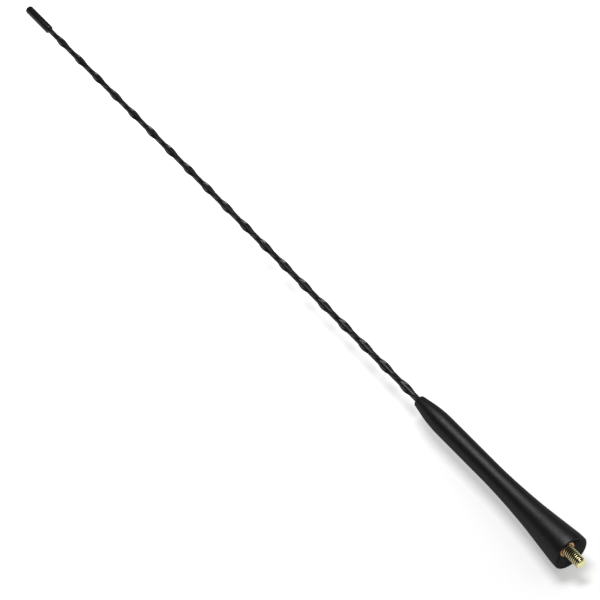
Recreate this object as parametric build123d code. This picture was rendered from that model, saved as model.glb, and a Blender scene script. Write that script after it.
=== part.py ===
from build123d import *
from math import asin, atan, cos, pi, sin, tan
import os

# Car mast aerial: a ridged whip moulded over a wound glass-fibre rod, held in a flared rubber
# boot whose foot carries a brass ferrule and a screw stud.
# Every piece is turned about +Z with the foot plane at Z = 0 and the tip upwards. The finished
# pieces are laid down together, so that the mast lies along X with its stud towards +X.
# All sizes are in millimetres.

# Gaps between pieces that are bonded, moulded or screwed together
bond_gap = 0.02
thread_gap = 0.05

# Rod and the close winding of fine wire on it
rod_diameter = 1.2
wire_thickness = 0.24
winding_end_margin = 4.0

# Whip sheath: a thin tapered tube with ridges twisted round it, left-handed
whip_length = 284.2
sheath_wall_foot = 0.52
sheath_wall_tip = 0.33
ridge_count = 2
ridge_lead = 29.4
ridge_start_angle = 175.5
ridge_height_foot = 0.55
ridge_height_tip = 0.45
ridge_base_width = 1.05
ridge_crest_width = 0.32
core_runs = 4
neck_step = 0.05
neck_depth = 14.0
neck_inset = 0.3
spigot_step = 0.06
spigot_length = 13.0

# Cap over the tip of the whip
cap_length = 18.0
cap_wall = 0.78
cap_end_chamfer = 1.1

# Boot, from its foot to its nose
foot_diameter = 17.0
rim_chamfer = 0.35
foot_band_length = 2.65
flare_length = 34.25
flare_blend_length = 16.6
barrel_diameter = 9.4
barrel_length = 48.1
shoulder_diameter = 8.9
shoulder_length = 6.0
nose_length = 11.4
nose_wall = 0.63
nose_chamfer = 0.35

# Dished foot of the boot
lip_width = 1.0
dish_depth = 2.6
dish_floor_margin = 0.35

# Screw stud
stud_diameter = 5.0
stud_reach = 9.3
stud_engagement = 9.5
stud_chamfer = 0.6
relief_depth = 0.4

# Brass ferrule that holds the stud and the rod
flange_proud = 0.4
flange_thickness = 1.2
flange_overhang = 0.2
counterbore_margin = 0.45
counterbore_depth = 0.6
bore_runout = 1.0
ferrule_wall = 0.95
ferrule_web = 2.0
socket_depth = 11.0

# Radii that follow from the rod outwards
rod_radius = rod_diameter / 2
winding_bore_radius = rod_radius + bond_gap
winding_radius = winding_bore_radius + wire_thickness
sheath_bore_radius = winding_radius + bond_gap
core_foot_radius = sheath_bore_radius + sheath_wall_foot
core_tip_radius = sheath_bore_radius + sheath_wall_tip
neck_radius = core_foot_radius + ridge_height_foot + neck_step
spigot_radius = core_tip_radius - spigot_step
cap_bore_radius = spigot_radius + bond_gap
cap_radius = cap_bore_radius + cap_wall
nose_radius = neck_radius + bond_gap + nose_wall

# Radii of the stud, of the ferrule round it and of the boot
stud_radius = stud_diameter / 2
stud_bore_radius = stud_radius + thread_gap
counterbore_radius = stud_radius + counterbore_margin
body_radius = stud_bore_radius + ferrule_wall
flange_radius = body_radius + flange_overhang
socket_radius = rod_radius + bond_gap
foot_radius = foot_diameter / 2
barrel_radius = barrel_diameter / 2
shoulder_radius = shoulder_diameter / 2
dish_mouth_radius = foot_radius - lip_width
dish_floor_edge = flange_radius + dish_floor_margin

# Heights above the foot plane
flange_front = dish_depth - flange_proud
flange_back = flange_front + flange_thickness
bore_end = flange_front + stud_engagement + bore_runout
socket_end = bore_end + ferrule_web
ferrule_top = socket_end + socket_depth
flare_top = foot_band_length + flare_length
barrel_top = flare_top + barrel_length
shoulder_top = barrel_top + shoulder_length
nose_end = shoulder_top + nose_length
neck_foot = nose_end - neck_depth
whip_foot = nose_end - neck_inset
whip_top = nose_end + whip_length
spigot_top = whip_top + spigot_length
mast_tip = whip_top + cap_length


def turned(radius, low, high):
    """A plain cylinder about Z between two heights."""
    return Pos(0, 0, (low + high) / 2) * Cylinder(radius, high - low)


def revolved(corners):
    """A solid turned from a closed outline of (radius, height, rounding) corners."""
    points = [(radius, height) for radius, height, rounding in corners]
    roundings = [rounding for radius, height, rounding in corners]
    outline = FilletPolyline(*points, radius=roundings, close=True)
    return revolve(Plane.XZ * make_face(outline.edges()), Axis.Z)


def ferrule_outside(grow):
    """The ferrule's outside, grown by the bond gap where it stands for the boot's pocket."""
    flange = turned(flange_radius + grow, flange_front - grow, flange_back + grow)
    return flange + turned(body_radius + grow, flange_back, ferrule_top + grow)


def make_terminal_ferrule():
    """Brass ferrule: counterbored flange, tapped bore for the stud, socket for the rod."""
    ferrule = ferrule_outside(0)
    ferrule -= turned(stud_bore_radius, flange_front, bore_end)
    ferrule -= turned(counterbore_radius, flange_front, flange_front + counterbore_depth)
    ferrule -= turned(socket_radius, socket_end, ferrule_top)
    return ferrule


def make_threaded_stud():
    """Screw stud with a chamfered end and a run-out groove inside the ferrule's counterbore."""
    low = flange_front - stud_reach
    high = flange_front + stud_engagement
    stud = turned(stud_radius, low, high)
    stud = chamfer(stud.edges().filter_by(GeomType.CIRCLE).sort_by(Axis.Z)[0], stud_chamfer)
    groove = turned(stud_radius + bond_gap, flange_front, flange_front + counterbore_depth)
    groove -= turned(stud_radius - relief_depth, flange_front, flange_front + counterbore_depth)
    return stud - groove


def make_boot():
    """Flared rubber boot with a dished foot, a parallel barrel and a tapered nose."""
    flare_slope = atan((foot_radius - barrel_radius) / flare_length)
    flare_blend_radius = flare_blend_length / tan(flare_slope / 2)
    boot = revolved(
        [
            (dish_mouth_radius, 0, 0),
            (foot_radius - rim_chamfer, 0, 0),
            (foot_radius, rim_chamfer, 0),
            (foot_radius, foot_band_length, 0),
            (barrel_radius, flare_top, flare_blend_radius),
            (barrel_radius, barrel_top, 0),
            (shoulder_radius, shoulder_top, 0),
            (nose_radius, nose_end, 0),
            (0, nose_end, 0),
            (0, dish_depth, 0),
            (dish_floor_edge, dish_depth, 0),
        ]
    )
    nose_edge = boot.edges().filter_by(GeomType.CIRCLE).group_by(Axis.Z)[-1]
    boot = chamfer(nose_edge, nose_chamfer)
    boot -= ferrule_outside(bond_gap)
    boot -= turned(sheath_bore_radius, ferrule_top, neck_foot)
    boot -= turned(neck_radius + bond_gap, neck_foot - bond_gap, nose_end)
    return boot


def make_core_rod():
    """Glass-fibre rod from the ferrule's socket to the cap."""
    return turned(rod_radius, socket_end + bond_gap, spigot_top)


def make_radiator_winding():
    """The close winding on the rod as one sleeve, from the ferrule to near the tip."""
    foot = ferrule_top + bond_gap
    top = spigot_top - winding_end_margin
    return turned(winding_radius, foot, top) - turned(winding_bore_radius, foot, top)


def ridged_section(core_radius, ridge_height):
    """Cross-section of the whip: a many-sided core with ridges spaced round it."""
    base_angle = asin(ridge_base_width / 2 / core_radius)
    run_angle = (2 * pi / ridge_count - 2 * base_angle) / core_runs
    crest_radius = core_radius + ridge_height
    stretch = [
        (crest_radius, -ridge_crest_width / 2),
        (crest_radius, ridge_crest_width / 2),
    ]
    for step in range(core_runs + 1):
        angle = base_angle + step * run_angle
        stretch.append((core_radius * cos(angle), core_radius * sin(angle)))
    corners = []
    for index in range(ridge_count):
        corners += [Vector(*corner).rotate(Axis.Z, 360 * index / ridge_count) for corner in stretch]
    return make_face(Polyline(*corners, close=True))


def make_whip_sheath():
    """Tapered sheath whose ridges twist round it, with a plain neck and a spigot at its ends."""
    twist_length = whip_top - whip_foot
    end_angle = ridge_start_angle - 360 * twist_length / ridge_lead
    foot_section = Pos(0, 0, whip_foot) * Rot(0, 0, ridge_start_angle) * ridged_section(
        core_foot_radius, ridge_height_foot
    )
    tip_section = Pos(0, 0, whip_top) * Rot(0, 0, end_angle) * ridged_section(
        core_tip_radius, ridge_height_tip
    )
    spine = Bezier((0, 0, whip_foot), (0, 0, whip_top))
    guide = Helix(ridge_lead, twist_length, neck_radius, center=(0, 0, whip_foot), lefthand=True)
    guide = guide.rotate(Axis.Z, ridge_start_angle)
    sheath = sweep([foot_section, tip_section], spine, multisection=True, binormal=guide.edge())
    sheath += turned(neck_radius, neck_foot, whip_foot)
    sheath += turned(spigot_radius, whip_top, spigot_top)
    return sheath - turned(sheath_bore_radius, neck_foot, spigot_top)


def make_tip_cap():
    """Blind cap over the spigot, with a chamfered end."""
    return revolved(
        [
            (cap_bore_radius, whip_top, 0),
            (cap_radius, whip_top, 0),
            (cap_radius, mast_tip - cap_end_chamfer, 0),
            (cap_radius - cap_end_chamfer, mast_tip, 0),
            (0, mast_tip, 0),
            (0, spigot_top + bond_gap, 0),
            (cap_bore_radius, spigot_top + bond_gap, 0),
        ]
    )


pieces = {
    "terminal_ferrule": make_terminal_ferrule(),
    "threaded_stud": make_threaded_stud(),
    "boot": make_boot(),
    "core_rod": make_core_rod(),
    "radiator_winding": make_radiator_winding(),
    "whip_sheath": make_whip_sheath(),
    "tip_cap": make_tip_cap(),
}

# Lay the mast down: its tip points along -X and its stud along +X
laid_down = Rot(0, -90, 0)
os.makedirs("parts", exist_ok=True)
for name, piece in pieces.items():
    export_step(laid_down * piece, f"parts/{name}.step")
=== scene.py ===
import logging
import math
from collections.abc import Callable
from dataclasses import dataclass
from enum import Enum

import bmesh
import bpy
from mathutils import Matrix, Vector


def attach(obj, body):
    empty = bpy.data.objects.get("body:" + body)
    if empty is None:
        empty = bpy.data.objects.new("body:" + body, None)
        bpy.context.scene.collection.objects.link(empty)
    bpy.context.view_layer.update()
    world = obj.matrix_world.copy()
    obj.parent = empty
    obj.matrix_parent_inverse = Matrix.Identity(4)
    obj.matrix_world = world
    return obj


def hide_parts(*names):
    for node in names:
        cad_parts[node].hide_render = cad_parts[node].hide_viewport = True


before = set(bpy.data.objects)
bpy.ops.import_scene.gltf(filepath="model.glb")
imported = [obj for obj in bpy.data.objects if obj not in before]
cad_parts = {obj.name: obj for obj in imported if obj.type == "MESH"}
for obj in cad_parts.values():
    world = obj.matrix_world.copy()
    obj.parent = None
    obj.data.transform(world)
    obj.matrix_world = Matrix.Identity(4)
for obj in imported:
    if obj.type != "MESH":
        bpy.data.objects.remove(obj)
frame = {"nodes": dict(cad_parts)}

# Looks of a car mast aerial: a ridged whip in a flared rubber boot with a screw stud at its foot.
# The mast lies along X with its foot plane at X = 0, its tip towards -X and its stud towards +X.
# Heights are counted from the foot plane towards the tip. Sizes are in metres.

LOG = logging.getLogger("mast_aerial")
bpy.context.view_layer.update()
BODY = "root"

# Types that the hints below use often
Colour = tuple[float, float, float]
Place = tuple[float, float, float]
Scale = tuple[float, float, float]
Point = tuple[float, float]
Span = tuple[float, float]
Socket = bpy.types.NodeSocket
Model = bpy.types.Object

# Units and angles
MM = 0.001
FULL_TURN = 2 * math.pi
QUARTER_TURN = math.pi / 2
SMOOTH_ANGLE = math.radians(35)

# Tolerances and habits of the modelling steps
SAME_PLACE = 2e-6
CUT_TOLERANCE = 1e-8
ARC_PROFILE = 0.5

# Spans that node values are mapped from: a plain share, and where most noise values lie
SHARE_SPAN: Span = (0.0, 1.0)
NOISE_SPAN: Span = (0.3, 0.7)

# Scale that takes out the coordinate along the mast and keeps the two across it
ACROSS: Scale = (0.0, 1.0, 1.0)


class Hand(Enum):
    """Which way a twist or a thread runs."""

    LEFT = -1
    RIGHT = 1


class Slot(Enum):
    """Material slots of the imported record."""

    BOOT = "boot_rubber"
    WHIP = "whip_plastic"
    CAP = "cap_plastic"
    FERRULE = "ferrule_brass"
    STUD = "stud_steel"


class Coordinates(Enum):
    """Coordinates that a texture reads."""

    OBJECT = "Object"
    GENERATED = "Generated"


class Direction(Enum):
    """A coordinate that is read by itself."""

    ALONG = "X"
    UP = "Z"


class Operation(Enum):
    """What a node does with two values."""

    MULTIPLY = "MULTIPLY"
    MAXIMUM = "MAXIMUM"


class MixSocket(Enum):
    """Places of a Mix node's sockets for colours."""

    SHARE = 0
    UNDER = 6
    OVER = 7
    RESULT = 2


@dataclass(frozen=True)
class Rounding:
    """How a corner is rounded: how far it is cut back, and in how many facets."""

    size: float = 0.0
    facets: int = 1


@dataclass(frozen=True)
class Corner:
    """A corner of a turned outline: its radius, its height and its rounding."""

    radius: float
    height: float
    rounding: Rounding = Rounding()


@dataclass(frozen=True)
class Noise:
    """A noise pattern: its cells for each metre and its octaves of finer noise."""

    scale: float
    detail: float


class Bench:
    """Hand modelling steps that the pieces share."""

    @staticmethod
    def clear() -> None:
        """Deselect every object, in object mode."""
        if bpy.context.object is not None and bpy.context.object.mode != "OBJECT":
            Bench.leave()
        bpy.ops.object.select_all(action="DESELECT")

    @staticmethod
    def activate(piece: Model) -> None:
        """Select one object alone and make it active.

        Args:
            piece: The object to work on.
        """
        Bench.clear()
        piece.select_set(True)
        bpy.context.view_layer.objects.active = piece

    @staticmethod
    def edit_all() -> None:
        """Enter edit mode with the whole mesh selected."""
        bpy.ops.object.mode_set(mode="EDIT")
        bpy.ops.mesh.select_all(action="SELECT")

    @staticmethod
    def leave() -> None:
        """Return to object mode."""
        bpy.ops.object.mode_set(mode="OBJECT")

    @staticmethod
    def settle(name: str) -> Model:
        """Name a primitive that was just added and put its place into its mesh.

        Args:
            name: Name of the object and its mesh.

        Returns:
            The object.
        """
        piece = bpy.context.object
        piece.name = name
        piece.data.name = name
        bpy.ops.object.transform_apply(location=True, rotation=True, scale=True)
        return piece

    @staticmethod
    def ring(name: str, radius: float, height: float, sides: int) -> Model:
        """Add an open ring of edges about the mast's axis.

        Args:
            name: Name of the new object and its mesh.
            radius: Radius of the ring.
            height: Height of the ring above the foot plane.
            sides: Number of edges round the ring.

        Returns:
            The new object, with its place in its mesh.
        """
        Bench.clear()
        bpy.ops.mesh.primitive_circle_add(
            vertices=sides,
            radius=radius,
            fill_type="NOTHING",
            location=(-height, 0, 0),
            rotation=(0, QUARTER_TURN, 0),
        )
        return Bench.settle(name)

    @staticmethod
    def pick_edges(piece: Model, wanted: Callable[[bmesh.types.BMEdge], bool]) -> None:
        """Select the edges of a piece that pass a test, in edit mode.

        Args:
            piece: The piece being edited.
            wanted: The test of one edge.
        """
        bpy.ops.mesh.select_mode(type="EDGE")
        bpy.ops.mesh.select_all(action="DESELECT")
        mesh = bmesh.from_edit_mesh(piece.data)
        for edge in mesh.edges:
            edge.select = wanted(edge)
        mesh.select_flush_mode()
        bmesh.update_edit_mesh(piece.data)

    @staticmethod
    def level(edge: bmesh.types.BMEdge, height: float) -> bool:
        """Whether an edge lies at one height above the foot plane."""
        return all(abs(-vert.co.x - height) < SAME_PLACE for vert in edge.verts)

    @staticmethod
    def round_axis(edge: bmesh.types.BMEdge, radius: float) -> bool:
        """Whether both ends of an edge are at one distance from the axis."""
        return all(
            abs(math.hypot(vert.co.y, vert.co.z) - radius) < SAME_PLACE for vert in edge.verts
        )

    @staticmethod
    def pick_ring(piece: Model, radius: float, height: float) -> None:
        """Select the edges that lie on one ring of a piece in edit mode.

        Args:
            piece: The piece being edited.
            radius: Radius of the ring.
            height: Height of the ring above the foot plane.
        """
        Bench.pick_edges(
            piece, lambda edge: Bench.level(edge, height) and Bench.round_axis(edge, radius)
        )

    @staticmethod
    def pick_open_edges(piece: Model, height: float) -> None:
        """Select the open edges of a piece at one height, in edit mode."""
        Bench.pick_edges(piece, lambda edge: edge.is_boundary and Bench.level(edge, height))

    @staticmethod
    def close_ring() -> None:
        """Close the selected ring with a fan of faces to a point at its centre."""
        bpy.ops.mesh.extrude_region_move(TRANSFORM_OT_translate={"value": (0, 0, 0)})
        bpy.ops.mesh.merge(type="CENTER")

    @staticmethod
    def place_of(point: bmesh.types.BMVert) -> Place:
        """The coordinates of a point."""
        return tuple(point.co)

    @staticmethod
    def points_of(part: bmesh.types.BMEdge | bmesh.types.BMFace) -> list[int]:
        """The numbers of the points of an edge or a face, in rising order."""
        return sorted(point.index for point in part.verts)

    @staticmethod
    def put_in_order(piece: Model) -> None:
        """Number a piece's points by their places, and its edges and faces by their points.

        A bevel numbers them differently in each run, and this makes all runs alike.

        Args:
            piece: The piece being edited.
        """
        mesh = bmesh.from_edit_mesh(piece.data)
        for parts, key in (
            (mesh.verts, Bench.place_of),
            (mesh.edges, Bench.points_of),
            (mesh.faces, Bench.points_of),
        ):
            ranks = {part: rank for rank, part in enumerate(sorted(parts, key=key))}
            parts.sort(key=ranks.get)
            parts.index_update()
        bmesh.update_edit_mesh(piece.data)

    @staticmethod
    def tidy_mesh(piece: Model) -> None:
        """Merge doubles, turn faces outwards and shade a piece smooth by angle.

        Args:
            piece: The piece, which ends in object mode.
        """
        Bench.activate(piece)
        Bench.edit_all()
        bpy.ops.mesh.remove_doubles(threshold=SAME_PLACE)
        bpy.ops.mesh.normals_make_consistent(inside=False)
        Bench.put_in_order(piece)
        Bench.leave()
        bpy.ops.object.shade_smooth_by_angle(angle=SMOOTH_ANGLE)

    @staticmethod
    def extrude_outline(piece: Model, outline: list[Corner]) -> None:
        """Carry the ring of a new piece along an outline, from its first corner to its last.

        Args:
            piece: A piece that is one ring at the first corner. It stays in edit mode.
            outline: The corners, each with a radius above zero.
        """
        Bench.activate(piece)
        Bench.edit_all()
        for here, there in zip(outline, outline[1:]):
            step = (here.height - there.height, 0, 0)
            ratio = there.radius / here.radius
            bpy.ops.mesh.extrude_region_move(TRANSFORM_OT_translate={"value": step})
            bpy.ops.transform.resize(
                value=(1, ratio, ratio), center_override=(-there.height, 0, 0)
            )

    @staticmethod
    def round_corners(piece: Model, outline: list[Corner]) -> None:
        """Bevel each corner of a turned piece that has a rounding, in edit mode.

        Args:
            piece: The turned piece.
            outline: The corners that it was turned from.
        """
        for corner in outline:
            if corner.rounding.size > 0:
                Bench.pick_ring(piece, corner.radius, corner.height)
                bpy.ops.mesh.bevel(
                    offset=corner.rounding.size,
                    segments=corner.rounding.facets,
                    profile=ARC_PROFILE,
                    affect="EDGES",
                    clamp_overlap=False,
                )

    @staticmethod
    def turn(name: str, outline: list[Corner], sides: int) -> Model:
        """Turn a piece from an outline, ring by ring, and round its corners.

        An outline whose ends are on the axis is closed there. One whose ends meet makes a ring.

        Args:
            name: Name of the new object.
            outline: The corners, in order. Only the ends may have no radius.
            sides: Number of sides round the axis.

        Returns:
            The finished object, with its place in its mesh.
        """
        rings = [corner for corner in outline if corner.radius > 0]
        piece = Bench.ring(name, rings[0].radius, rings[0].height, sides)
        Bench.extrude_outline(piece, rings)
        for end, ring in ((outline[0], rings[0]), (outline[-1], rings[-1])):
            if end.radius == 0:
                Bench.pick_ring(piece, ring.radius, ring.height)
                Bench.close_ring()
        bpy.ops.mesh.select_all(action="SELECT")
        bpy.ops.mesh.remove_doubles(threshold=SAME_PLACE)
        Bench.round_corners(piece, rings)
        Bench.tidy_mesh(piece)
        return piece

    @staticmethod
    def apply_modifiers(piece: Model) -> None:
        """Apply the modifiers of a piece in their order.

        Args:
            piece: The piece.
        """
        Bench.activate(piece)
        for modifier in list(piece.modifiers):
            bpy.ops.object.modifier_apply(modifier=modifier.name)


class Nodes:
    """A node tree that is wired step by step."""

    def __init__(self, tree: bpy.types.NodeTree) -> None:
        """Take up the node tree of a material or of the world."""
        self.tree = tree

    def add(self, kind: str) -> bpy.types.Node:
        """Add a node of one kind."""
        return self.tree.nodes.new(kind)

    def link(self, source: Socket, target: Socket) -> None:
        """Link an output to an input."""
        self.tree.links.new(source, target)

    def coordinates(self, kind: Coordinates) -> Socket:
        """Texture coordinates of one kind."""
        return self.add("ShaderNodeTexCoord").outputs[kind.value]

    def part(self, vector: Socket, direction: Direction) -> Socket:
        """Take one coordinate out of a vector.

        Args:
            vector: The vector.
            direction: Which coordinate is taken.

        Returns:
            The coordinate.
        """
        node = self.add("ShaderNodeSeparateXYZ")
        self.link(vector, node.inputs["Vector"])
        return node.outputs[direction.value]

    def length(self, vector: Socket) -> Socket:
        """Measure a vector.

        Args:
            vector: The vector.

        Returns:
            Its length.
        """
        node = self.add("ShaderNodeVectorMath")
        node.operation = "LENGTH"
        self.link(vector, node.inputs[0])
        return node.outputs["Value"]

    def combine(self, operation: Operation, one: Socket, other: Socket) -> Socket:
        """Make one value of two.

        Args:
            operation: What is done with them.
            one: The first value.
            other: The second value.

        Returns:
            The result.
        """
        node = self.add("ShaderNodeMath")
        node.operation = operation.value
        self.link(one, node.inputs[0])
        self.link(other, node.inputs[1])
        return node.outputs["Value"]

    def spread(self, value: Socket, result: Span, source: Span = NOISE_SPAN) -> Socket:
        """Map a value from one span to another, clamped.

        Args:
            value: The value to map.
            result: Results at the two ends of the source span.
            source: The span that the value is read in.

        Returns:
            The mapped value.
        """
        node = self.add("ShaderNodeMapRange")
        ends = zip(("From Min", "From Max", "To Min", "To Max"), (*source, *result))
        for key, number in ends:
            node.inputs[key].default_value = number
        self.link(value, node.inputs["Value"])
        return node.outputs["Result"]

    def shown(self) -> Socket:
        """Tell the picture and its reflections from the light that falls on the object.

        Returns:
            1 in the picture, in reflections and through clear material, and 0 elsewhere.
        """
        path = self.add("ShaderNodeLightPath")
        share = path.outputs["Is Camera Ray"]
        for ray in ("Is Glossy Ray", "Is Transmission Ray"):
            share = self.combine(Operation.MAXIMUM, share, path.outputs[ray])
        return share


class Shader(Nodes):
    """Builder of one procedural material on a Principled shader."""

    def __init__(self, name: str) -> None:
        """Start a material with its texture coordinates.

        Args:
            name: Name of the material.
        """
        self.material = bpy.data.materials.new(name)
        self.material.use_nodes = True
        super().__init__(self.material.node_tree)
        self.surface = self.tree.nodes["Principled BSDF"]
        self.here = self.coordinates(Coordinates.OBJECT)

    def set(self, **values: float) -> None:
        """Set sockets of the shader, named with underscores for spaces."""
        for key, value in values.items():
            self.surface.inputs[key.replace("_", " ")].default_value = value

    def feed(self, socket: str, value: Socket) -> None:
        """Link a value to a socket of the shader."""
        self.link(value, self.surface.inputs[socket])

    def feed_normal(self, normal: Socket) -> None:
        """Link a bumped normal to the surface and to the sheen on it."""
        self.feed("Normal", normal)
        self.feed("Coat Normal", normal)

    def stretch(self, scale: Scale) -> Socket:
        """Scale the texture coordinates by axis.

        Args:
            scale: The three scales.

        Returns:
            The scaled coordinates.
        """
        node = self.add("ShaderNodeMapping")
        node.inputs["Scale"].default_value = scale
        self.link(self.here, node.inputs["Vector"])
        return node.outputs["Vector"]

    def along(self) -> Socket:
        """The X coordinate, along the mast."""
        return self.part(self.here, Direction.ALONG)

    def off_axis(self) -> Socket:
        """The distance from the mast's axis."""
        return self.length(self.stretch(ACROSS))

    def noise(self, pattern: Noise, where: Socket | None = None) -> Socket:
        """Add a noise texture.

        Args:
            pattern: The noise.
            where: Coordinates, or None for the plain object coordinates.

        Returns:
            The noise value.
        """
        node = self.add("ShaderNodeTexNoise")
        node.inputs["Scale"].default_value = pattern.scale
        node.inputs["Detail"].default_value = pattern.detail
        self.link(self.here if where is None else where, node.inputs["Vector"])
        return node.outputs["Fac"]

    def ramp(self, value: Socket, places: tuple[float, ...], colours: tuple[Colour, ...]) -> Socket:
        """Add a colour ramp.

        Args:
            value: The value that the ramp reads.
            places: Values at which the colours are pure, in rising order.
            colours: Linear colours.

        Returns:
            The ramp's colour.
        """
        node = self.add("ShaderNodeValToRGB")
        elements = node.color_ramp.elements
        for position in places[1:-1]:
            elements.new(position)
        for element, position, colour in zip(elements, places, colours):
            element.position = position
            element.color = (*colour, 1)
        self.link(value, node.inputs["Fac"])
        return node.outputs["Color"]

    def blend(self, share: Socket, under: Socket, over: Colour) -> Socket:
        """Lay a plain colour over another by a share.

        Args:
            share: How much of the plain colour shows, from 0 to 1.
            under: The colour below it.
            over: The plain linear colour.

        Returns:
            The blended colour.
        """
        node = self.add("ShaderNodeMix")
        node.data_type = "RGBA"
        self.link(share, node.inputs[MixSocket.SHARE.value])
        self.link(under, node.inputs[MixSocket.UNDER.value])
        node.inputs[MixSocket.OVER.value].default_value = (*over, 1)
        return node.outputs[MixSocket.RESULT.value]

    def bump(self, height: Socket, distance: float, under: Socket | None = None) -> Socket:
        """Add a bump.

        Args:
            height: The height value, from 0 to 1.
            distance: Depth of the relief in metres.
            under: The normal of a coarser bump below this one, if there is one.

        Returns:
            The bumped normal.
        """
        node = self.add("ShaderNodeBump")
        node.inputs["Strength"].default_value = 1.0
        node.inputs["Distance"].default_value = distance
        self.link(height, node.inputs["Height"])
        if under is not None:
            self.link(under, node.inputs["Normal"])
        return node.outputs["Normal"]


@dataclass(frozen=True)
class RubberFinish:
    """Matt black moulded rubber with a fine spark-eroded grain and a grey bloom on it."""

    name: str
    dark: Colour = (0.0018, 0.0019, 0.0022)
    pale: Colour = (0.0036, 0.0038, 0.0044)
    mottle: Noise = Noise(420.0, 4.0)
    grain: Noise = Noise(5200.0, 3.0)
    grain_depth: float = 0.022 * MM
    fine: Noise = Noise(13000.0, 2.0)
    fine_depth: float = 0.010 * MM
    rim_span: Span = (-1.6 * MM, -0.4 * MM)
    rim_grain: float = 0.25
    roughness: float = 0.60
    bloom: Span = (0.09, 0.23)
    bloom_roughness: float = 0.42
    bloom_ior: float = 2.2

    def make(self) -> bpy.types.Material:
        """Build the material.

        Returns:
            The material for the boot.
        """
        shader = Shader(self.name)
        mottle = shader.noise(self.mottle)
        shader.feed("Base Color", shader.ramp(mottle, NOISE_SPAN, (self.dark, self.pale)))
        shader.set(
            Specular_IOR_Level=0.0,
            Roughness=self.roughness,
            Coat_Roughness=self.bloom_roughness,
            Coat_IOR=self.bloom_ior,
        )
        grain = shader.noise(self.grain)
        shader.feed("Coat Weight", shader.spread(grain, self.bloom))
        moulded = shader.spread(shader.along(), (1.0, self.rim_grain), self.rim_span)
        relief = shader.combine(Operation.MULTIPLY, grain, moulded)
        coarse = shader.bump(relief, self.grain_depth)
        shader.feed_normal(shader.bump(shader.noise(self.fine), self.fine_depth, coarse))
        return shader.material


@dataclass(frozen=True)
class PlasticFinish:
    """Satin black plastic of the whip and its cap."""

    name: str
    dark: Colour = (0.0018, 0.0018, 0.0020)
    pale: Colour = (0.0036, 0.0036, 0.0040)
    mottle: Noise = Noise(260.0, 3.0)
    skin: Noise = Noise(5200.0, 3.0)
    skin_depth: float = 0.006 * MM
    roughness: float = 0.50
    gloss: Span = (0.17, 0.27)
    gloss_roughness: float = 0.29
    gloss_ior: float = 2.2

    def make(self) -> bpy.types.Material:
        """Build the material.

        Returns:
            The material for a plastic piece.
        """
        shader = Shader(self.name)
        mottle = shader.noise(self.mottle)
        shader.feed("Base Color", shader.ramp(mottle, NOISE_SPAN, (self.dark, self.pale)))
        shader.set(
            Specular_IOR_Level=0.0,
            Roughness=self.roughness,
            Coat_Roughness=self.gloss_roughness,
            Coat_IOR=self.gloss_ior,
        )
        shader.feed("Coat Weight", shader.spread(mottle, self.gloss))
        shader.feed_normal(shader.bump(shader.noise(self.skin), self.skin_depth))
        return shader.material


@dataclass(frozen=True)
class TurnedMetalFinish:
    """Metal turned on a lathe, with fine rings and slight staining."""

    name: str
    bright: Colour
    stained: Colour
    roughness: Span
    stain: Noise = Noise(700.0, 4.0)
    stain_span: Span = (0.32, 0.62)
    ring_scale: float = 5200.0
    ring_wobble: float = 0.6
    ring_depth: float = 0.006 * MM

    def make(self) -> bpy.types.Material:
        """Build the material.

        Returns:
            The material for a turned metal piece.
        """
        shader = Shader(self.name)
        stain = shader.noise(self.stain)
        shader.feed("Base Color", shader.ramp(stain, self.stain_span, (self.stained, self.bright)))
        shader.set(Metallic=1.0)
        rings = shader.add("ShaderNodeTexWave")
        rings.wave_type = "RINGS"
        rings.rings_direction = "X"
        rings.inputs["Scale"].default_value = self.ring_scale / FULL_TURN
        rings.inputs["Distortion"].default_value = self.ring_wobble
        shader.link(shader.here, rings.inputs["Vector"])
        shader.feed("Normal", shader.bump(rings.outputs["Fac"], self.ring_depth))
        shader.feed("Roughness", shader.spread(stain, self.roughness))
        return shader.material


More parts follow.
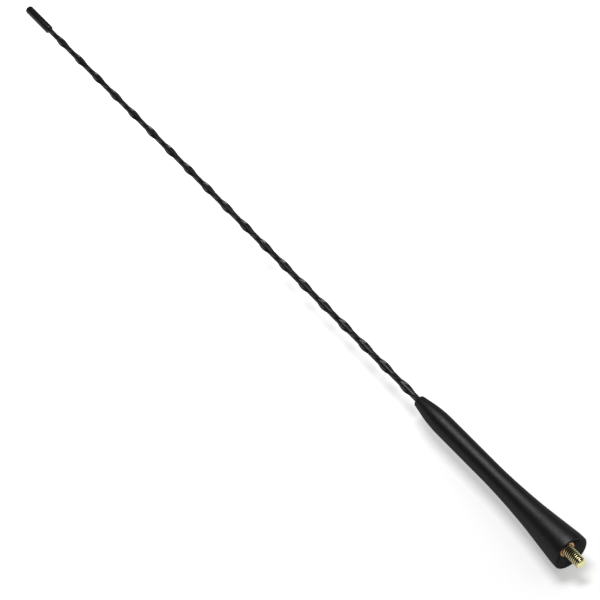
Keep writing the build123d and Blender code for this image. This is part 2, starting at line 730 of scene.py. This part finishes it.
@dataclass(frozen=True)
class PassivateFinish:
    """Yellow zinc passivate: straw and green tints, a pink bloom, and painted shade in the thread's
    roots.
    """

    name: str
    green: Colour = (0.68, 0.72, 0.28)
    straw: Colour = (0.84, 0.78, 0.48)
    gold: Colour = (0.84, 0.70, 0.36)
    pink: Colour = (0.84, 0.62, 0.60)
    cloud: Noise = Noise(620.0, 3.0)
    tint_places: tuple[float, ...] = (0.30, 0.46, 0.58, 0.72)
    face: Colour = (0.66, 0.70, 0.26)
    face_span: Span = (7.06 * MM, 7.09 * MM)
    stain: Noise = Noise(1100.0, 4.0)
    stain_span: Span = (0.40, 0.60)
    stain_share: Span = (0.15, 0.95)
    # Painted shade: a dark colour laid into the thread's roots, where the grooves are in shade.
    painted_shade_colour: Colour = (0.035, 0.025, 0.012)
    painted_shade_share: float = 0.92
    root_span: Span = (2.30 * MM, 2.45 * MM)
    unshaded_span: Span = (6.30 * MM, 6.60 * MM)
    speck: Noise = Noise(5200.0, 3.0)
    speck_depth: float = 0.008 * MM
    roughness: Span = (0.18, 0.34)

    def tint(self, shader: Shader) -> Socket:
        """Colour the passivate in clouds, and the stud's end face in greener stains.

        Args:
            shader: The material being built.

        Returns:
            The colour of the metal before the painted shade goes on.
        """
        colours = (self.green, self.straw, self.gold, self.pink)
        clouds = shader.ramp(shader.noise(self.cloud), self.tint_places, colours)
        end = shader.spread(shader.along(), SHARE_SPAN, self.face_span)
        stain = shader.spread(shader.noise(self.stain), self.stain_share, self.stain_span)
        return shader.blend(shader.combine(Operation.MULTIPLY, end, stain), clouds, self.face)

    def painted_root_shade(self, shader: Shader) -> Socket:
        """Find the thread's roots, short of the chamfered end, where painted shade darkens the
        grooves.

        Args:
            shader: The material being built.

        Returns:
            How much painted shade darkens the metal, from 0 to 1.
        """
        # Painted shade: darker towards the thread's root radius, and kept off the chamfered end.
        root = shader.spread(shader.off_axis(), (self.painted_shade_share, 0.0), self.root_span)
        side = shader.spread(shader.along(), (1.0, 0.0), self.unshaded_span)
        return shader.combine(Operation.MULTIPLY, root, side)

    def make(self) -> bpy.types.Material:
        """Build the material.

        Returns:
            The material for the stud.
        """
        shader = Shader(self.name)
        # The thread's roots are darkened with painted shade.
        colour = shader.blend(self.painted_root_shade(shader), self.tint(shader), self.painted_shade_colour)
        shader.feed("Base Color", colour)
        shader.set(Metallic=1.0)
        speck = shader.noise(self.speck)
        shader.feed("Normal", shader.bump(speck, self.speck_depth))
        shader.feed("Roughness", shader.spread(speck, self.roughness))
        return shader.material


@dataclass(frozen=True)
class FibreFinish:
    """Pale glass-fibre rod with streaks along it."""

    name: str
    deep: Colour = (0.60, 0.55, 0.40)
    pale: Colour = (0.74, 0.70, 0.57)
    streak: Noise = Noise(2500.0, 2.0)
    streak_scale: Scale = (0.02, 1.0, 1.0)
    roughness: Span = (0.35, 0.50)

    def make(self) -> bpy.types.Material:
        """Build the material.

        Returns:
            The material for the rod.
        """
        shader = Shader(self.name)
        streak = shader.noise(self.streak, shader.stretch(self.streak_scale))
        shader.feed("Base Color", shader.ramp(streak, NOISE_SPAN, (self.deep, self.pale)))
        shader.feed("Roughness", shader.spread(streak, self.roughness))
        return shader.material


# Finishes of the mast, each named for its piece
BOOT_RUBBER = RubberFinish("boot_rubber_grained")
WHIP_PLASTIC = PlasticFinish("whip_plastic_satin")
CAP_PLASTIC = PlasticFinish("cap_plastic_satin")
STUD_PASSIVATE = PassivateFinish("stud_yellow_passivate")
ROD_FIBRE = FibreFinish("rod_glass_fibre_streaked")
FERRULE_BRASS = TurnedMetalFinish(
    "ferrule_brass_turned",
    bright=(0.72, 0.42, 0.18),
    stained=(0.46, 0.22, 0.08),
    roughness=(0.24, 0.40),
)
WINDING_COPPER = TurnedMetalFinish(
    "winding_copper_bare",
    bright=(0.66, 0.31, 0.17),
    stained=(0.42, 0.17, 0.09),
    roughness=(0.25, 0.40),
)


class Piece:
    """What a finished piece is given: its finish and what it stands for."""

    @staticmethod
    def dress(piece: Model, material: bpy.types.Material) -> None:
        """Give a piece or a CAD node its one material."""
        piece.data.materials.clear()
        piece.data.materials.append(material)

    @staticmethod
    def seat(piece: Model, node: str, slot: Slot) -> None:
        """Let a piece ride on the mast in place of a CAD node.

        Args:
            piece: The piece.
            node: The CAD node that it stands for.
            slot: The record's slot for its material; it is not used.
        """
        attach(piece, BODY)
        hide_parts(node)


@dataclass
class Ferrule:
    """Brass ferrule with a flange round the stud, a bore for it and a socket for the rod."""

    sides: int = 96
    flange_radius: float = 3.70 * MM
    flange_front: float = 2.20 * MM
    flange_back: float = 3.40 * MM
    flange_edge: Rounding = Rounding(0.22 * MM, 4)
    body_radius: float = 3.50 * MM
    top: float = 25.70 * MM
    recess_radius: float = 2.68 * MM
    recess_floor: float = 2.80 * MM
    recess_mouth: Rounding = Rounding(0.08 * MM, 3)
    bore_radius: float = 2.55 * MM
    bore_end: float = 12.70 * MM
    socket_radius: float = 0.62 * MM
    socket_end: float = 14.70 * MM

    def build(self) -> Model:
        """Turn the ferrule.

        Returns:
            The ferrule.
        """
        outline = [
            Corner(0, self.bore_end),
            Corner(self.bore_radius, self.bore_end),
            Corner(self.bore_radius, self.recess_floor),
            Corner(self.recess_radius, self.recess_floor),
            Corner(self.recess_radius, self.flange_front, self.recess_mouth),
            Corner(self.flange_radius, self.flange_front, self.flange_edge),
            Corner(self.flange_radius, self.flange_back),
            Corner(self.body_radius, self.flange_back),
            Corner(self.body_radius, self.top),
            Corner(self.socket_radius, self.top),
            Corner(self.socket_radius, self.socket_end),
            Corner(0, self.socket_end),
        ]
        piece = Bench.turn("ferrule_flanged", outline, self.sides)
        Piece.dress(piece, FERRULE_BRASS.make())
        Piece.seat(piece, "terminal_ferrule", Slot.FERRULE)
        return piece


@dataclass
class Stud:
    """Screw stud with a true helical thread and a chamfered end."""

    crest_radius: float = 2.50 * MM
    root_radius: float = 1.94 * MM
    pitch: float = 1.00 * MM
    crest_flat: float = 0.14 * MM
    root_flat: float = 0.16 * MM
    ease_width: float = 0.03 * MM
    ease_depth: float = 0.042 * MM
    foot: float = 11.70 * MM
    reach: float = 7.10 * MM
    chamfer: float = 0.60 * MM
    spare_turns: int = 2
    spare_room: float = 0.50 * MM
    steps: int = 64
    hand: Hand = Hand.RIGHT

    def thread_profile(self) -> list[Point]:
        """Outline of one pitch of the thread.

        Returns:
            Points as (distance along the axis, radius), from root to root.
        """
        flank = (self.pitch - self.crest_flat - self.root_flat) / 2
        rise = self.root_flat + flank
        fall = rise + self.crest_flat
        eased = self.crest_radius - self.ease_depth
        return [
            (0.0, self.root_radius),
            (self.root_flat, self.root_radius),
            (rise - self.ease_width, eased),
            (rise + self.ease_width, self.crest_radius),
            (fall - self.ease_width, self.crest_radius),
            (fall + self.ease_width, eased),
            (self.pitch, self.root_radius),
        ]

    def wind_thread(self) -> Model:
        """Draw the thread's outline and wind it round the axis.

        Returns:
            An open threaded rod, longer than the stud at both ends.
        """
        profile = self.thread_profile()
        start = -self.foot - self.spare_turns * self.pitch
        turns = math.ceil((self.foot + self.reach) / self.pitch) + 2 * self.spare_turns
        Bench.clear()
        bpy.ops.mesh.primitive_plane_add(size=self.pitch, location=(start, 0, self.root_radius))
        piece = Bench.settle("stud_threaded")
        Bench.edit_all()
        bpy.ops.mesh.select_mode(type="VERT")
        bpy.ops.mesh.merge(type="CENTER")
        for (here, low), (there, high) in zip(profile, profile[1:]):
            step = (there - here, 0, high - low)
            bpy.ops.mesh.extrude_vertices_move(TRANSFORM_OT_translate={"value": step})
        Bench.leave()
        winding = piece.modifiers.new("thread", "SCREW")
        winding.axis = "X"
        winding.angle = FULL_TURN
        winding.screw_offset = self.hand.value * self.pitch
        winding.iterations = turns
        winding.steps = self.steps
        winding.render_steps = self.steps
        Bench.apply_modifiers(piece)
        Bench.tidy_mesh(piece)
        return piece

    def cut_ends(self, piece: Model) -> None:
        """Cut the threaded rod off square at the stud's two ends.

        Args:
            piece: The open threaded rod.
        """
        Bench.activate(piece)
        for place, direction in ((-self.foot, -1), (self.reach, 1)):
            Bench.edit_all()
            bpy.ops.mesh.bisect(
                plane_co=(place, 0, 0),
                plane_no=(direction, 0, 0),
                use_fill=True,
                clear_outer=True,
                threshold=CUT_TOLERANCE,
            )
            Bench.leave()

    def chamfer_end(self, piece: Model) -> None:
        """Cut the chamfer, by keeping what is inside a turned block with a conical end.

        Args:
            piece: The stud, cut to its length.
        """
        room = self.crest_radius + self.spare_room
        cone_foot = -self.reach + self.chamfer + self.spare_room
        cone_end = -self.reach - self.chamfer
        block = Bench.turn(
            "stud_envelope",
            [
                Corner(0, self.foot + room),
                Corner(room, self.foot + room),
                Corner(room, cone_foot),
                Corner(self.crest_radius - self.chamfer, -self.reach),
                Corner(self.crest_radius - 2 * self.chamfer, cone_end),
                Corner(0, cone_end),
            ],
            self.steps,
        )
        cut = piece.modifiers.new("chamfer", "BOOLEAN")
        cut.operation = "INTERSECT"
        cut.object = block
        cut.solver = "EXACT"
        Bench.apply_modifiers(piece)
        bpy.data.objects.remove(block)

    def build(self) -> Model:
        """Wind the thread and cut it to the stud's ends.

        Returns:
            The stud.
        """
        piece = self.wind_thread()
        self.cut_ends(piece)
        self.chamfer_end(piece)
        Bench.tidy_mesh(piece)
        Piece.dress(piece, STUD_PASSIVATE.make())
        Piece.seat(piece, "threaded_stud", Slot.STUD)
        return piece


@dataclass
class Boot:
    """Flared rubber boot with a dished foot."""

    sides: int = 144
    foot_radius: float = 8.50 * MM
    rim: Rounding = Rounding(0.32 * MM, 6)
    lip_width: float = 1.00 * MM
    lip: Rounding = Rounding(0.28 * MM, 5)
    dish_depth: float = 2.60 * MM
    dish_floor_radius: float = 4.05 * MM
    dish_corner: Rounding = Rounding(0.20 * MM, 4)
    mouth_edge: Rounding = Rounding(0.08 * MM, 2)
    pocket_radius: float = 3.72 * MM
    pocket_floor: float = 3.42 * MM
    ferrule_bore: float = 3.52 * MM
    ferrule_end: float = 25.72 * MM
    band: float = 2.65 * MM
    band_top: Rounding = Rounding(1.60 * MM, 6)
    flare_top: float = 36.90 * MM
    flare: Rounding = Rounding(16.60 * MM, 32)
    barrel_radius: float = 4.70 * MM
    shoulder_height: float = 90.66 * MM
    shoulder: Rounding = Rounding(5.20 * MM, 16)
    nose_radius: float = 2.65 * MM
    nose_end: float = 102.40 * MM
    nose: Rounding = Rounding(0.50 * MM, 5)
    neck_bore: float = 2.02 * MM
    neck_floor: float = 88.38 * MM
    core_bore: float = 0.88 * MM

    def build(self) -> Model:
        """Turn the boot.

        Returns:
            The boot.
        """
        outline = [
            Corner(self.pocket_radius, self.dish_depth, self.mouth_edge),
            Corner(self.dish_floor_radius, self.dish_depth, self.dish_corner),
            Corner(self.foot_radius - self.lip_width, 0, self.lip),
            Corner(self.foot_radius, 0, self.rim),
            Corner(self.foot_radius, self.band, self.band_top),
            Corner(self.barrel_radius, self.flare_top, self.flare),
            Corner(self.barrel_radius, self.shoulder_height, self.shoulder),
            Corner(self.nose_radius, self.nose_end, self.nose),
            Corner(self.neck_bore, self.nose_end, self.mouth_edge),
            Corner(self.neck_bore, self.neck_floor),
            Corner(self.core_bore, self.neck_floor),
            Corner(self.core_bore, self.ferrule_end),
            Corner(self.ferrule_bore, self.ferrule_end),
            Corner(self.ferrule_bore, self.pocket_floor),
            Corner(self.pocket_radius, self.pocket_floor),
            Corner(self.pocket_radius, self.dish_depth),
        ]
        piece = Bench.turn("boot_moulded", outline, self.sides)
        Piece.dress(piece, BOOT_RUBBER.make())
        Piece.seat(piece, "boot", Slot.BOOT)
        return piece


@dataclass
class Whip:
    """Tapered whip sheath with two cord-like ridges twisted round it."""

    sides: int = 48
    steps: int = 620
    foot: float = 102.10 * MM
    top: float = 386.60 * MM
    core_radius: float = 1.40 * MM
    ridge_height: float = 0.55 * MM
    ridge_count: int = 2
    ridge_half_angle: float = math.radians(31)
    ridge_angle: float = math.radians(175.5)
    lead: float = 29.40 * MM
    tip_share: float = 0.855
    hand: Hand = Hand.LEFT
    neck_radius: float = 2.00 * MM
    neck_foot: float = 88.40 * MM
    bore_radius: float = 0.88 * MM
    spigot_radius: float = 1.15 * MM
    spigot_top: float = 399.60 * MM

    def section_radius(self, off_ridge: float) -> float:
        """Radius of the section at an angle away from the middle of a ridge."""
        share = min(1.0, abs(off_ridge) / self.ridge_half_angle)
        return self.core_radius + self.ridge_height * math.cos(share * QUARTER_TURN) ** 2

    def raise_ridges(self, piece: Model) -> None:
        """Pull the points of a round section out to the ridges, in edit mode.

        Args:
            piece: The whip as one ring, with a point in the middle of each ridge.
        """
        bpy.ops.mesh.select_mode(type="VERT")
        spacing = FULL_TURN / self.ridge_count
        step = FULL_TURN / self.sides
        close = step / 4
        reach = math.ceil(self.ridge_half_angle / step)
        for place in range(reach + 1):
            bpy.ops.mesh.select_all(action="DESELECT")
            mesh = bmesh.from_edit_mesh(piece.data)
            for vert in mesh.verts:
                turn = math.atan2(vert.co.y, vert.co.z) - self.ridge_angle
                off = abs((turn + spacing / 2) % spacing - spacing / 2)
                vert.select = abs(off - place * step) < close
            mesh.select_flush_mode()
            bmesh.update_edit_mesh(piece.data)
            ratio = self.section_radius(place * step) / self.core_radius
            bpy.ops.transform.resize(value=(1, ratio, ratio), center_override=(0, 0, 0))

    def model_section(self) -> Model:
        """Model the section of the whip at the origin.

        Returns:
            The whip as one ridged ring.
        """
        piece = Bench.ring("whip_ridged", self.core_radius, 0, self.sides)
        Bench.edit_all()
        points = bmesh.from_edit_mesh(piece.data).verts
        points.ensure_lookup_table()
        first = math.atan2(points[0].co.y, points[0].co.z)
        bpy.ops.transform.rotate(
            value=self.ridge_angle - first, orient_axis="X", center_override=(0, 0, 0)
        )
        self.raise_ridges(piece)
        Bench.leave()
        return piece

    def draw_out(self, piece: Model) -> None:
        """Draw the section out with a twist and a taper, and move it to its place.

        Args:
            piece: The whip as one ridged ring, which becomes an open sheath.
        """
        length = self.top - self.foot
        twist = piece.modifiers.new("twist", "SCREW")
        twist.axis = "X"
        twist.screw_offset = -length
        twist.angle = -self.hand.value * FULL_TURN * length / self.lead
        twist.steps = self.steps
        twist.render_steps = self.steps
        taper = piece.modifiers.new("taper", "SIMPLE_DEFORM")
        taper.deform_method = "TAPER"
        taper.deform_axis = "X"
        taper.factor = 1 - self.tip_share
        Bench.apply_modifiers(piece)
        bpy.ops.transform.translate(value=(-self.foot, 0, 0))
        bpy.ops.object.transform_apply(location=True, rotation=True, scale=True)
        Bench.edit_all()
        bpy.ops.mesh.flip_normals()
        Bench.leave()

    def line(self, piece: Model) -> None:
        """Join a neck, a bore and a spigot to the open ends of the sheath.

        Args:
            piece: The tapered sheath.
        """
        outline = [
            Corner(self.neck_radius, self.foot),
            Corner(self.neck_radius, self.neck_foot),
            Corner(self.bore_radius, self.neck_foot),
            Corner(self.bore_radius, self.spigot_top),
            Corner(self.spigot_radius, self.spigot_top),
            Corner(self.spigot_radius, self.top),
        ]
        liner = Bench.ring("whip_liner", outline[0].radius, outline[0].height, self.sides)
        Bench.extrude_outline(liner, outline)
        Bench.activate(piece)
        liner.select_set(True)
        bpy.ops.object.join()
        bpy.ops.object.mode_set(mode="EDIT")
        for height in (self.foot, self.top):
            Bench.pick_open_edges(piece, height)
            bpy.ops.mesh.bridge_edge_loops()
        Bench.leave()

    def build(self) -> Model:
        """Make the sheath with its neck, bore and spigot.

        Returns:
            The whip sheath.
        """
        piece = self.model_section()
        self.draw_out(piece)
        self.line(piece)
        Bench.tidy_mesh(piece)
        Piece.dress(piece, WHIP_PLASTIC.make())
        Piece.seat(piece, "whip_sheath", Slot.WHIP)
        return piece


@dataclass
class TipCap:
    """Plain cap at the tip of the whip."""

    sides: int = 64
    radius: float = 1.95 * MM
    foot: float = 386.60 * MM
    foot_edge: Rounding = Rounding(0.45 * MM, 5)
    tip: float = 404.60 * MM
    tip_edge: Rounding = Rounding(1.15 * MM, 8)
    bore_radius: float = 1.17 * MM
    bore_end: float = 399.62 * MM

    def build(self) -> Model:
        """Turn the cap.

        Returns:
            The cap.
        """
        outline = [
            Corner(0, self.bore_end),
            Corner(self.bore_radius, self.bore_end),
            Corner(self.bore_radius, self.foot),
            Corner(self.radius, self.foot, self.foot_edge),
            Corner(self.radius, self.tip, self.tip_edge),
            Corner(0, self.tip),
        ]
        piece = Bench.turn("tip_cap_rounded", outline, self.sides)
        Piece.dress(piece, CAP_PLASTIC.make())
        Piece.seat(piece, "tip_cap", Slot.CAP)
        return piece


@dataclass
class Core:
    """The rod and its winding, which stay as CAD nodes inside the sheath."""

    rod: str = "core_rod"
    winding: str = "radiator_winding"

    def dress(self, nodes: dict[str, Model]) -> list[Model]:
        """Give the hidden nodes their finishes.

        Args:
            nodes: The CAD nodes by name.

        Returns:
            The two nodes.
        """
        Piece.dress(nodes[self.rod], ROD_FIBRE.make())
        Piece.dress(nodes[self.winding], WINDING_COPPER.make())
        return [nodes[self.rod], nodes[self.winding]]


@dataclass(frozen=True)
class Lamp:
    """An oblong soft lamp that faces the mast."""

    name: str
    place: Place
    width: float
    height: float
    power: float
    in_reflections: bool = True
    target: Place = (-0.12, 0.0, 0.0)

    def build(self) -> Model:
        """Hang the lamp and point it at the mast.

        Returns:
            The lamp.
        """
        data = bpy.data.lights.new(self.name, "AREA")
        data.shape = "RECTANGLE"
        data.size = self.width
        data.size_y = self.height
        data.energy = self.power
        lamp = bpy.data.objects.new(self.name, data)
        bpy.context.scene.collection.objects.link(lamp)
        aim = Vector(self.target) - Vector(self.place)
        lamp.location = self.place
        lamp.rotation_euler = aim.to_track_quat("-Z", "Y").to_euler()
        lamp.visible_glossy = self.in_reflections
        return lamp


@dataclass
class Studio:
    """White floor, soft lamps and a pale world."""

    floor_size: float = 60.0
    floor_colour: Colour = (0.60, 0.60, 0.60)
    floor_glow: Span = (0.46, 1.00)
    floor_middle: float = -0.02
    fade_span: Span = (0.03, 0.46)
    rest_radius: float = 8.50 * MM
    sky_colour: Colour = (1.0, 1.0, 1.0)
    sky_strength: Span = (0.15, 1.00)
    horizon_span: Span = (0.14, 0.08)
    lamps: tuple[Lamp, ...] = (
        Lamp("top_lamp", place=(-0.59, 0.12, 1.31), width=0.85, height=0.38, power=16.0),
        Lamp(
            "side_lamp",
            place=(-0.10, 1.30, 0.80),
            width=1.80,
            height=1.60,
            power=8.0,
            in_reflections=False,
        ),
    )

    def floor_finish(self) -> bpy.types.Material:
        """Make a pale floor that shows shadows near the foot and turns plain white away from it.

        Returns:
            The material.
        """
        material = bpy.data.materials.new("studio_floor_white")
        material.use_nodes = True
        material.node_tree.nodes.clear()
        nodes = Nodes(material.node_tree)
        diffuse = nodes.add("ShaderNodeBsdfDiffuse")
        diffuse.inputs["Color"].default_value = (*self.floor_colour, 1)
        afar = nodes.length(nodes.coordinates(Coordinates.OBJECT))
        fade = nodes.spread(afar, self.floor_glow, self.fade_span)
        glow = nodes.add("ShaderNodeEmission")
        strength = nodes.combine(Operation.MULTIPLY, nodes.shown(), fade)
        nodes.link(strength, glow.inputs["Strength"])
        both = nodes.add("ShaderNodeAddShader")
        nodes.link(diffuse.outputs["BSDF"], both.inputs[0])
        nodes.link(glow.outputs["Emission"], both.inputs[1])
        out = nodes.add("ShaderNodeOutputMaterial")
        nodes.link(both.outputs["Shader"], out.inputs["Surface"])
        return material

    def build_floor(self) -> Model:
        """Lay the floor under the rim of the foot.

        Returns:
            The floor.
        """
        Bench.clear()
        bpy.ops.mesh.primitive_plane_add(
            size=self.floor_size, location=(self.floor_middle, 0, -self.rest_radius)
        )
        floor = bpy.context.object
        floor.name = "studio_floor"
        floor.data.materials.append(self.floor_finish())
        return floor

    def build_world(self) -> None:
        """Light the scene with a grey world that looks white at its horizon."""
        world = bpy.data.worlds.new("studio_world")
        bpy.context.scene.world = world
        world.use_nodes = True
        nodes = Nodes(world.node_tree)
        height = nodes.part(nodes.coordinates(Coordinates.GENERATED), Direction.UP)
        band = nodes.spread(height, SHARE_SPAN, self.horizon_span)
        white = nodes.combine(Operation.MULTIPLY, nodes.shown(), band)
        sky = world.node_tree.nodes["Background"]
        sky.inputs["Color"].default_value = (*self.sky_colour, 1)
        nodes.link(nodes.spread(white, self.sky_strength, SHARE_SPAN), sky.inputs["Strength"])

    def build(self) -> None:
        """Set up the view transform, the floor, the world and the lamps."""
        bpy.context.scene.view_settings.view_transform = "Standard"
        self.build_floor()
        self.build_world()
        for lamp in self.lamps:
            lamp.build()


@dataclass
class PhotoCamera:
    """Camera that sees the mast as the photograph does."""

    image: float = 600.0
    focal: float = 3600.0
    sensor: float = 36.0
    near: float = 0.01
    azimuth: float = math.radians(53.7)
    elevation: float = math.radians(47.8)
    distance: float = 1.48
    foot_x: float = 570.9
    foot_y: float = 553.2

    def build(self) -> Model:
        """Place the camera so that the foot falls on its pixel.

        Returns:
            The camera.
        """
        back = Vector(
            (
                math.sin(self.azimuth) * math.cos(self.elevation),
                -math.cos(self.azimuth) * math.cos(self.elevation),
                math.sin(self.elevation),
            )
        )
        right = Vector((0, 0, 1)).cross(back).normalized()
        up = back.cross(right)
        aside = (self.foot_x - self.image / 2) / self.focal * self.distance
        below = (self.foot_y - self.image / 2) / self.focal * self.distance
        data = bpy.data.cameras.new("photo_camera")
        data.sensor_width = self.sensor
        data.lens = self.focal / self.image * self.sensor
        data.clip_start = self.near
        camera = bpy.data.objects.new("photo_camera", data)
        bpy.context.scene.collection.objects.link(camera)
        camera.location = back * self.distance - right * aside + up * below
        camera.rotation_euler = back.to_track_quat("Z", "Y").to_euler()
        bpy.context.scene.camera = camera
        return camera


def main() -> None:
    """Build the camera, the mast with its finishes, and the studio."""
    logging.basicConfig(level=logging.INFO, format="%(name)s: %(message)s")
    PhotoCamera().build()
    for assembly in (Ferrule(), Stud(), Boot(), Whip(), TipCap()):
        piece = assembly.build()
        LOG.info("%s is built, with %d faces", piece.name, len(piece.data.polygons))
    for node in Core().dress(frame["nodes"]):
        LOG.info("%s keeps its solid", node.name)
    Studio().build()


if __name__ == "__main__":
    main()
